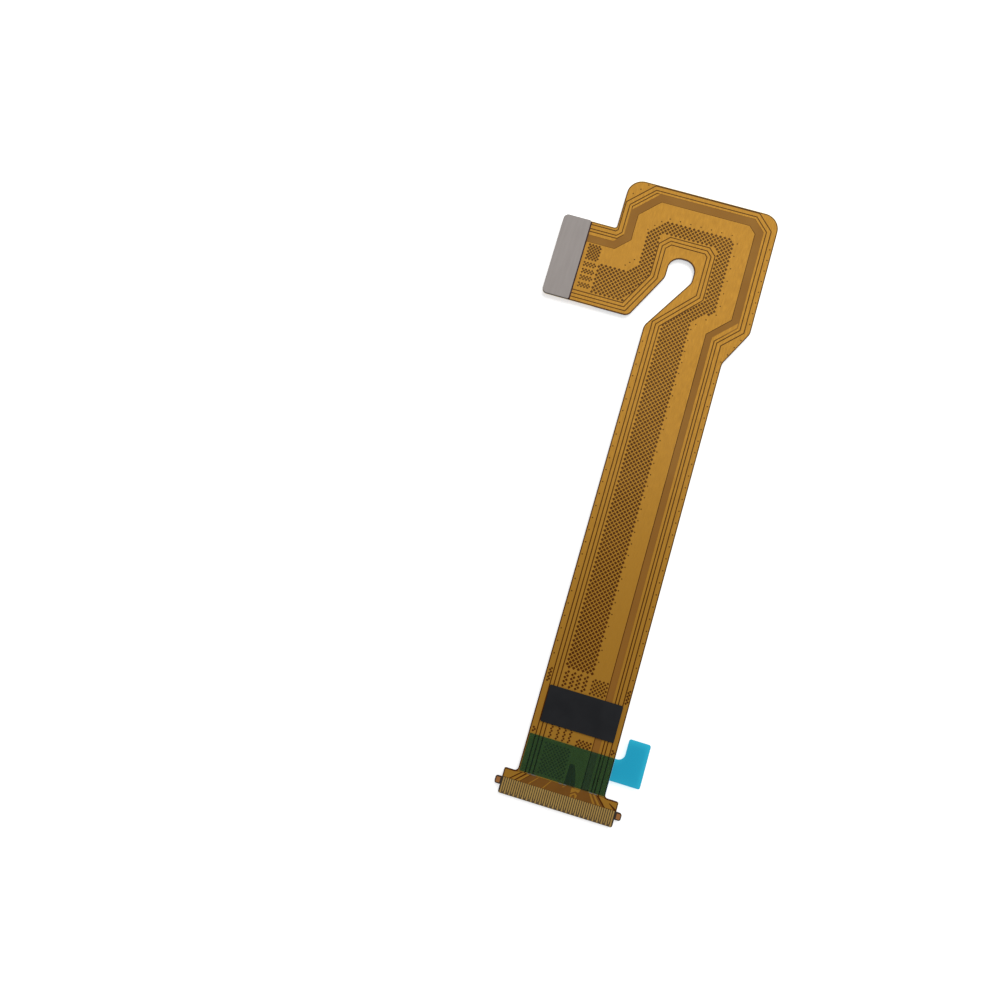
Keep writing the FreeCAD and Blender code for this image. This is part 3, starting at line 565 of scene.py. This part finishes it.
platedHoles = {
    # first place, last place and how many dark plated holes between them
    "strip": ((0.52, 20.0), (0.52, 68.0), 30),
    "bend": ((1.0, 68.9), (3.4, 71.0), 3),
    "leg": ((3.62, 72.4), (3.62, 82.0), 6),
    "top": ((2.6, 83.03), (-6.5, 83.0), 7),
    "farCorner": ((-7.55, 82.3), (-9.15, 80.65), 3),
    "tab": ((-9.8, 75.75), (-10.85, 74.6), 3),
}
outerPlatedHoles = {
    "strip": ((5.55, 19.0), (5.55, 63.0), 27),
    "bend": ((5.75, 64.6), (7.65, 68.4), 4),
    "leg": ((8.25, 71.0), (8.25, 82.4), 8),
    "corner": ((-10.8, 87.15), (-12.6, 85.3), 3),
}
innerPlatedHoles = {"strip": ((-5.55, 19.5), (-5.55, 64.5), 27)}
platedHole = {"reach": 0.1, "corners": 8}
sidePatch = {
    # openings beside the pad and the liner: first row and number of rows, in two staggered columns
    "rows": [(15.8, 8), (8.95, 3)],
    "stagger": 0.2,
    "step": 0.24,
    "reach": 0.18,
    "outerX": 5.4,
    "innerX": -5.47,
}


def copperLevels(node):
    # levels between which a cutter passes right through the copper
    low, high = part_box(node)
    return low.z - skin, high.z + skin


def hatchPlaces(outline, pitch, start, clear):
    # middles of the holes that fit in an outline
    xs = [x for x, _ in outline]
    ys = [y for _, y in outline]
    firstRow = math.ceil((min(ys) - start[1]) / pitch * 2)
    lastRow = math.floor((max(ys) - start[1]) / pitch * 2)
    places = []
    for row in range(firstRow, lastRow + 1):
        y = start[1] + row * pitch / 2
        shift = start[0] + (row % 2) * pitch / 2
        firstColumn = math.ceil((min(xs) - shift) / pitch)
        lastColumn = math.floor((max(xs) - shift) / pitch)
        for column in range(firstColumn, lastColumn + 1):
            x = shift + column * pitch
            if all(insideOutline(x + dx, y + dy, outline)
                   for dx, dy in ((clear, 0), (-clear, 0), (0, clear), (0, -clear))):
                places.append((x, y))
    return places


def addPatch(cutter, patch, low, high, keptFree=None):
    # small patch of holes, without those that would come near an outline that is kept free
    firsts, columns, rows, across, along, reach = patch
    margin = reach + 0.1
    for startX, startY in firsts:
        for row in range(rows):
            for column in range(columns):
                x, y = startX + (column + row % 2 / 2) * across, startY + row * along
                if not (keptFree and insideOutline(x - margin, y - margin, keptFree)):
                    addHole(cutter, x, y, reach, low, high)


def addPlatedHoles(cutter, rows, low, high):
    for (ax, ay), (bx, by), count in rows.values():
        for index in range(count):
            share = index / (count - 1)
            addHole(cutter, ax + (bx - ax) * share, ay + (by - ay) * share, platedHole["reach"], low, high,
                    platedHole["corners"])


def buildGroundPlane():
    low, high = copperLevels("ground_plane")
    cutter = bmesh.new()
    places = hatchPlaces(hatch["outline"], hatch["pitch"], hatch["start"], hatch["clear"])
    for x, y in places:
        addHole(cutter, x, y, hatch["hole"], low, high)
    for patch in smallHatch.values():
        addPatch(cutter, patch, low, high)
    addPlatedHoles(cutter, platedHoles, low, high)
    addSlab(cutter, hatch["bareWedge"], low, high)
    plane = carve(mergedCopy("ground_plane"), cutter)
    print("stage: hatch,", len(places), "openings,", len(plane.polygons), "faces left")
    addPiece("groundPlane", plane, "copper", "ground_plane")


def buildEdgeGround(name, node, rows, patchX):
    low, high = copperLevels(node)
    cutter = bmesh.new()
    addPlatedHoles(cutter, rows, low, high)
    for startY, count in sidePatch["rows"]:
        for row in range(count):
            addHole(cutter, patchX + sidePatch["stagger"] * (row % 2), startY + sidePatch["step"] * row,
                    sidePatch["reach"], low, high)
    addPiece(name, carve(mergedCopy(node), cutter), "copper", node)


buildGroundPlane()
buildEdgeGround("outerEdgeGround", "outer_edge_ground", outerPlatedHoles, sidePatch["outerX"])
buildEdgeGround("innerEdgeGround", "inner_edge_ground", innerPlatedHoles, sidePatch["innerX"])
print("stage: edge grounds")


# Lower copper on the tab, seen from below beside the shield

underCopper = {
    # hatched patches, laid out as in the upper copper
    "outerPatch": ([(-16.45, 77.05)], 4, 9, 0.45, 0.3, 0.17),
    "innerPatch": ([(-16.45, 67.95)], 4, 4, 0.45, 0.24, 0.17),
    # supply trace: it steps up beside the connector and branches to pads of its own
    "jog": [(-15.62, 76.5), (-17.0, 77.88), (-17.5, 77.88), (-17.5, 76.682), (-17.313, 76.5)],
    "jogGap": [(-15.4, 76.6), (-15.65, 76.74), (-16.94, 78.03), (-17.6, 78.03), (-17.6, 76.4), (-15.4, 76.4)],
    "branchCorner": [(-16.7, 75.3), (-16.7, 75.42), (-17.6, 76.02), (-17.6, 75.3)],
    "branchGap": [(-16.1, 75.3), (-16.35, 75.56), (-17.6, 76.78), (-17.6, 76.66), (-16.55, 75.62),
                  (-16.55, 75.3)],
    # ground bars: small openings, fewer in the last two bars, and a point at the connector
    "openingX": [-16.9, -16.45, -15.95, -15.45, -15.0],
    "openingCounts": [5, 5, 5, 4, 1],
    "openingHalf": (0.05, 0.14),
    "pointLength": 0.55,
    "pointHalf": 0.1,
}


def buildLowerGrounds():
    low, high = copperLevels("lower_outer_ground")
    cutter = bmesh.new()
    addPatch(cutter, underCopper["outerPatch"], low, high, underCopper["jogGap"])
    addSlab(cutter, underCopper["jogGap"], low, high)
    outer = carve(mergedCopy("lower_outer_ground"), cutter)
    addPiece("lowerOuterGround", outer, "copper", "lower_outer_ground")
    cutter = bmesh.new()
    addPatch(cutter, underCopper["innerPatch"], low, high)
    inner = carve(mergedCopy("lower_inner_ground"), cutter)
    addPiece("lowerInnerGround", inner, "copper", "lower_inner_ground")


def buildSupplyTrace():
    low, high = copperLevels("supply_trace")
    cutter = bmesh.new()
    addSlab(cutter, underCopper["branchCorner"], low, high)
    addSlab(cutter, underCopper["branchGap"], low, high)
    trace = bmesh.new()
    trace.from_mesh(carve(mergedCopy("supply_trace"), cutter))
    addSlab(trace, underCopper["jog"], low + skin, high - skin)
    addPiece("supplyTrace", meshFrom(trace, "supplyTrace"), "copper", "supply_trace")


def buildGroundBar(number):
    node = "ground_bar_%d" % number
    low, high = copperLevels(node)
    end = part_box(node)[0].x
    left = (end - stripMiddle) / mm
    endPlaces = [vert.co.y for vert in frame["nodes"][node].data.vertices if vert.co.x < end + 0.02 * mm]
    bottom, top = (min(endPlaces) - tailEnd) / mm, (max(endPlaces) - tailEnd) / mm
    middle = (bottom + top) / 2
    cutter = bmesh.new()
    halfX, halfY = underCopper["openingHalf"]
    for x in underCopper["openingX"][:underCopper["openingCounts"][number - 1]]:
        addSlab(cutter, rectangle((x - halfX, x + halfX), (middle - halfY, middle + halfY)), low, high)
    past, inner = left - 0.05, left + underCopper["pointLength"]
    for edge, step in ((bottom, -underCopper["pointHalf"]), (top, underCopper["pointHalf"])):
        addSlab(cutter, [(past, middle + step), (inner, edge), (inner, edge + step), (past, edge + step)],
                low, high)
    addPiece("groundBar%d" % number, carve(mergedCopy(node), cutter), "copper", node)


buildLowerGrounds()
buildSupplyTrace()
for number in range(1, 6):
    buildGroundBar(number)
print("stage: lower copper")


# Shield: the black film stands a little proud where it lies over the lower copper

shieldRelief = {
    "slope": 0.1,
    "height": 0.03,
    "margin": 0.12,  # from the film's square ends
    "over": ["ground_bar_1", "ground_bar_2", "ground_bar_3", "ground_bar_4", "ground_bar_5",
             "supply_trace", "lower_outer_ground", "lower_inner_ground"],
}


def buildShieldRelief():
    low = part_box("shield_film")[0]
    margin = shieldRelief["margin"] * mm
    total = bmesh.new()
    for node in shieldRelief["over"]:
        bm = mergedCopy(node)
        bmesh.ops.delete(bm, geom=[face for face in bm.faces if face.normal.z > -level], context="FACES")
        cutEverywhere(bm, Vector((0, low.y + margin, 0)), (0, 1, 0), True)
        cutEverywhere(bm, Vector((low.x + margin, 0, 0)), (1, 0, 0), True)
        bmesh.ops.dissolve_limit(bm, angle_limit=flatAngle, verts=bm.verts, edges=bm.edges)
        for vert in bm.verts:
            vert.co.z = low.z + skin
        raised = bm.faces[:]
        bmesh.ops.inset_region(bm, faces=raised, thickness=shieldRelief["slope"] * mm, depth=0.0,
                               use_boundary=True, use_even_offset=True)
        for vert in {vert for face in raised for vert in face.verts}:
            vert.co.z = low.z - shieldRelief["height"] * mm
        part = meshFrom(bm, "reliefPart", False)
        total.from_mesh(part)
        bpy.data.meshes.remove(part)
    bmesh.ops.recalc_face_normals(total, faces=total.faces)
    if sum(face.normal.z * face.calc_area() for face in total.faces) > 0:
        bmesh.ops.reverse_faces(total, faces=total.faces)
    addPiece("shieldRelief", meshFrom(total, "shieldRelief", False), "shield")


buildShieldRelief()
print("stage: shield relief")


# Back of the contact tail: white insertion line, and the glue that came out along the stiffener's end

tailBack = {
    "lineX": (-7.3, 7.5),
    "lineY": (0.96, 1.11),
    "lineHeight": 0.006,
    "beadX": (-5.9, 5.9),
    "beadY": (3.86, 4.02),
    "beadInset": 0.05,
    "beadSteps": 72,
    "wave": 0.05,
    "waves": 9.0,
    "flecks": 22,
    "fleckX": (-4.5, 3.1),
    "fleckY": 3.62,
    "fleckSpread": 0.12,
    "fleckReach": (0.05, 0.1),
    "fleckHeight": 0.004,
}


def buildTailBack():
    low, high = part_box("tail_stiffener")
    bm = bmesh.new()
    addSlab(bm, rectangle(tailBack["lineX"], tailBack["lineY"]), low.z - tailBack["lineHeight"] * mm,
            low.z + skin)
    addPiece("insertionLine", meshFrom(bm, "insertionLine"), "tail_stiffener", looks=["paleMark"])
    bm = bmesh.new()
    (left, right), (bottom, top) = tailBack["beadX"], tailBack["beadY"]
    wavy = []
    for step in range(tailBack["beadSteps"] + 1):
        share = step / tailBack["beadSteps"]
        turn = 2 * math.pi * tailBack["waves"] * share
        wave = tailBack["wave"] * (math.sin(turn) + 0.5 * math.sin(2.3 * turn))
        wavy.append((left + (right - left) * share, top + wave))
    addSlab(bm, [(left, bottom), (right, bottom)] + wavy[::-1], low.z + tailBack["beadInset"] * mm,
            high.z + skin)
    addPiece("stiffenerBead", meshFrom(bm, "stiffenerBead"), "tail_stiffener", looks=["dullBead"])
    bm = bmesh.new()
    (left, right), spread = tailBack["fleckX"], tailBack["fleckSpread"]
    chance = random.Random(7)
    for index in range(tailBack["flecks"]):
        x = left + (right - left) * (index + chance.uniform(-0.3, 0.3)) / tailBack["flecks"]
        y = tailBack["fleckY"] + chance.uniform(-spread, spread)
        addHole(bm, x, y, chance.uniform(*tailBack["fleckReach"]), low.z - tailBack["fleckHeight"] * mm,
                low.z + skin, 7)
    addPiece("glueFlecks", meshFrom(bm, "glueFlecks"), "tail_stiffener", looks=["dullFleck"])


buildTailBack()
print("stage: back of the contact tail")


# Thicker pieces with softened edges, and the dark line and flecks that show beside them on the amber face

softEdges = {
    # node, reach of the softened edge, and looks of its level faces and of its sides
    # the plate's side faces take the darker steel, which is painted shade
    "steelPlate": ("connector_stiffener", 0.04, ["stiffener_plate", "shadedPlateSide"]),
    "blackPad": ("insulating_pad", 0.03, ["insulator"]),
    "tailBoard": ("tail_stiffener", 0.02, ["tail_stiffener"]),
    "housing": ("connector_housing", 0.02, ["connector_housing"]),
    "fittingTop": ("end_fitting_top", 0.02, ["end_fitting"]),
    "fittingLow": ("end_fitting_low", 0.02, ["end_fitting"]),
}
faceDetails = {
    "edgeLineX": (-17.26, -17.08),
    "edgeLineY": (67.6, 79.5),
    "edgeLineHeight": 0.06,
    "fleckX": [(-4.6, -4.25), (-4.15, -3.5), (-0.35, 0.1), (0.25, 0.7), (3.8, 4.3), (4.45, 4.9)],
    "fleckY": (3.42, 3.5),
    "fleckSlant": 0.02,
    "fleckHeight": 0.02,
}


def rimmedCopy(node, reach):
    # the node with the outline of its level faces softened, as stamped, cut and moulded edges are
    bm = mergedCopy(node)
    bmesh.ops.dissolve_limit(bm, angle_limit=flatAngle, verts=bm.verts, edges=bm.edges)
    rim = [edge for edge in bm.edges if edge.is_manifold and edge.calc_face_angle() > 1.0
           and any(abs(face.normal.z) > level for face in edge.link_faces)]
    bmesh.ops.bevel(bm, geom=rim, offset=reach * mm, offset_type="OFFSET", segments=2, profile=0.5,
                    affect="EDGES", material=-1)
    return bm


def buildFaceDetails():
    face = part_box("connector_stiffener")[0].z
    bm = bmesh.new()
    # a thin dark strip on the amber face along the plate's right edge
    addSlab(bm, rectangle(faceDetails["edgeLineX"], faceDetails["edgeLineY"]), face - skin,
            face + faceDetails["edgeLineHeight"] * mm)
    addPiece("plateEdgeLine", meshFrom(bm, "plateEdgeLine"), "adhesive", looks=["darkEdgeLine"])
    bm = bmesh.new()
    (bottom, top), slant = faceDetails["fleckY"], faceDetails["fleckSlant"]
    for left, right in faceDetails["fleckX"]:
        addSlab(bm, [(left, bottom), (right, bottom - slant), (right, top), (left, top + slant)],
                face - skin, face + faceDetails["fleckHeight"] * mm)
    addPiece("linerFlecks", meshFrom(bm, "linerFlecks"), "adhesive", looks=["dullFleck"])


for name, (node, reach, looks) in softEdges.items():
    piece = addPiece(name, meshFrom(rimmedCopy(node, reach), name), slots[node], node, looks)
    for face in piece.data.polygons:
        face.material_index = len(looks) - 1 if abs(face.normal.z) < 0.3 else 0
buildFaceDetails()
print("stage: soft edges and small marks")


# Floor, lamps and camera

studio = {
    "floorSize": 1.2,
    "floorColour": (0.93, 0.93, 0.93, 1),
    "floorDrop": 0.00001,  # keeps the floor clear of the underside
    "floorGlow": 0.56,
    "farGlow": 0.7,
    "glowReach": (0.09, 0.45),
    "worldLevel": 0.355,
    "keyPlace": (0.03, 0.15, 0.26),
    "keySize": 0.22,
    "keyPower": 0.505,
    "lens": 26.712,
    "cameraPlace": (-7.534 * mm, -16.920 * mm, 102.413 * mm),
    "cameraTurns": (6.4735, 1.1904, 16.4871),
}


def buildFloor():
    bm = bmesh.new()
    bmesh.ops.create_grid(bm, x_segments=2, y_segments=2, size=studio["floorSize"] / 2)
    mesh = meshFrom(bm, "floor", False)
    material, tree, shader, place = newMaterial("paleFloor", 0.9)
    shader.inputs["Base Color"].default_value = studio["floorColour"]
    shader.inputs["Specular IOR Level"].default_value = 0.1
    shader.inputs["Emission Color"].default_value = (1, 1, 1, 1)
    # rays from the camera, and those that come by way of metal or glass, see the floor white
    path = tree.nodes.new("ShaderNodeLightPath")
    seen = mathNode(tree, "MAXIMUM", path.outputs["Is Camera Ray"], path.outputs["Is Glossy Ray"])
    seen = mathNode(tree, "MAXIMUM", seen, path.outputs["Is Transmission Ray"])
    # the floor glows more with distance, where the lamp's light runs out
    distance = tree.nodes.new("ShaderNodeVectorMath")
    distance.operation = "LENGTH"
    tree.links.new(place, distance.inputs[0])
    glow = tree.nodes.new("ShaderNodeMapRange")
    glow.inputs["From Min"].default_value, glow.inputs["From Max"].default_value = studio["glowReach"]
    glow.inputs["To Min"].default_value = studio["floorGlow"]
    glow.inputs["To Max"].default_value = studio["farGlow"]
    tree.links.new(distance.outputs["Value"], glow.inputs["Value"])
    strength = mathNode(tree, "MULTIPLY", seen, glow.outputs["Result"])
    tree.links.new(strength, shader.inputs["Emission Strength"])
    mesh.materials.append(material)
    floor = bpy.data.objects.new("floor", mesh)
    bpy.context.scene.collection.objects.link(floor)
    floor.location.z = -studio["floorDrop"]


def buildWorld():
    # soft room light, white where the camera sees past the floor
    world = bpy.data.worlds.new("softRoom")
    world.use_nodes = True
    tree = world.node_tree
    light = tree.nodes["Background"]
    light.inputs["Strength"].default_value = studio["worldLevel"]
    white = tree.nodes.new("ShaderNodeBackground")
    for background in (light, white):
        background.inputs["Color"].default_value = (1, 1, 1, 1)
    path = tree.nodes.new("ShaderNodeLightPath")
    choose = tree.nodes.new("ShaderNodeMixShader")
    tree.links.new(path.outputs["Is Camera Ray"], choose.inputs[0])
    tree.links.new(light.outputs[0], choose.inputs[1])
    tree.links.new(white.outputs[0], choose.inputs[2])
    tree.links.new(choose.outputs[0], tree.nodes["World Output"].inputs["Surface"])
    bpy.context.scene.world = world


def addLamp(name, place, size, power):
    lamp = bpy.data.lights.new(name, "AREA")
    lamp.shape = "SQUARE"
    lamp.size = size
    lamp.energy = power
    holder = bpy.data.objects.new(name, lamp)
    holder.location = place
    holder.rotation_euler = (-Vector(place)).to_track_quat("-Z", "Y").to_euler()
    bpy.context.scene.collection.objects.link(holder)


def addCamera():
    data = bpy.data.cameras.new("camera")
    data.sensor_width = 36.0
    data.lens = studio["lens"]
    data.clip_start = 0.002
    camera = bpy.data.objects.new("camera", data)
    camera.location = studio["cameraPlace"]
    camera.rotation_euler = [math.radians(turn) for turn in studio["cameraTurns"]]
    bpy.context.scene.collection.objects.link(camera)
    bpy.context.scene.camera = camera


buildFloor()
buildWorld()
addLamp("keyLamp", studio["keyPlace"], studio["keySize"], studio["keyPower"])
addCamera()
bpy.context.scene.view_settings.view_transform = "Standard"
print("stage: floor, lamps and camera")
